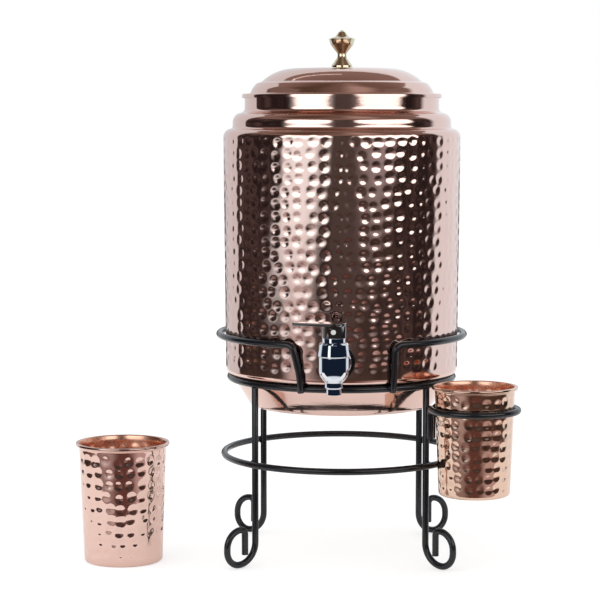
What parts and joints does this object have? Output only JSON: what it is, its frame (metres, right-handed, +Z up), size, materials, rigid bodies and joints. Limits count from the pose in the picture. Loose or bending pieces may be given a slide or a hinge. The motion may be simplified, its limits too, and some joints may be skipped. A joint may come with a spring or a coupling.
{
  "type": "copper water dispenser",
  "caption": "Hammered copper water vessel with a lift-off lid and a lever tap, on a black wire stand with scroll feet and a side holder, with matching tumblers.",
  "frame": {"origin": "on the floor under the vessel's upright axis, at the middle of the stand", "axes": "+Z up, -Y towards the stand's open front where the tap is, +X to the viewer's right"},
  "size_m": [0.3685, 0.2636, 0.4446],
  "materials": {
    "copper_hammered": "polished copper with hammered dimples, lacquered",
    "copper_polished": "mirror-polished copper, lacquered",
    "knob_brass": "turned and polished brass",
    "stand_black": "satin black powder coat",
    "tap_chrome": "bright chrome plate",
    "lever_black": "gloss black moulding",
    "rubber_black": "matt black rubber",
    "steel_bright": "bright stainless steel",
    "nut_brass": "plain machined brass"
  },
  "bodies": {
    "stand": {"support_ring": "stand_black", "guard_hoop": "stand_black", "lower_ring": "stand_black", "cup_holder": "stand_black", "leg_front_left": "stand_black", "leg_front_right": "stand_black", "leg_back_left": "stand_black", "leg_back_right": "stand_black"},
    "vessel": {"vessel_shell": "copper_hammered", "vessel_base": "copper_polished", "tap_body": "tap_chrome", "tap_outer_gasket": "rubber_black", "tap_inner_gasket": "rubber_black", "shank_nut": "nut_brass", "bonnet_nut": "tap_chrome", "stem_seal": "rubber_black", "valve_spring": "steel_bright"},
    "lid": {"lid_shell": "copper_polished", "lid_inner_ring": "copper_polished", "knob": "knob_brass", "knob_washer": "steel_bright", "knob_screw": "steel_bright"},
    "swivel": {"swivel_collar": "tap_chrome"},
    "stem": {"valve_stem": "steel_bright", "seat_plug": "rubber_black"},
    "handle": {"lever": "lever_black", "lever_pin": "steel_bright"},
    "held_tumbler": {"tumbler_held": "copper_hammered"},
    "free_tumbler": {"tumbler_free": "copper_hammered"}
  },
  "joints": [
    {"name": "vessel_lift", "type": "slide", "parent": "stand", "child": "vessel", "axis": [0, 0, 1], "range_m": [0, 0.08]},
    {"name": "lid_lift", "type": "slide", "parent": "vessel", "child": "lid", "axis": [0, 0, 1], "range_m": [0, 0.06]},
    {"name": "handle_swivel", "type": "hinge", "parent": "vessel", "child": "swivel", "pos_m": [-0.00881, -0.14401, 0.1978], "axis": [0, 0, 1], "continuous": true},
    {"name": "stem_lift", "type": "slide", "parent": "swivel", "child": "stem", "axis": [0, 0, 1], "range_m": [0, 0.0032], "deforming": ["valve_spring"]},
    {"name": "lever_press", "type": "hinge", "parent": "stem", "child": "handle", "pos_m": [-0.00881, -0.14401, 0.20455], "axis": [-0.061, -0.9981, 0], "range_deg": [0, 25], "stiffness_Nm_per_rad": 0.3, "springref_deg": -11.46},
    {"name": "held_tumbler_lift", "type": "slide", "parent": "stand", "child": "held_tumbler", "axis": [0, 0, 1], "range_m": [0, 0.03]},
    {"name": "free_tumbler_lift", "type": "slide", "parent": "stand", "child": "free_tumbler", "axis": [0, 0, 1], "range_m": [0, 0.1]}
  ],
  "couplings": [
    {"joint": "stem_lift", "follows": "lever_press", "m_per_rad": 0.00699}
  ]
}
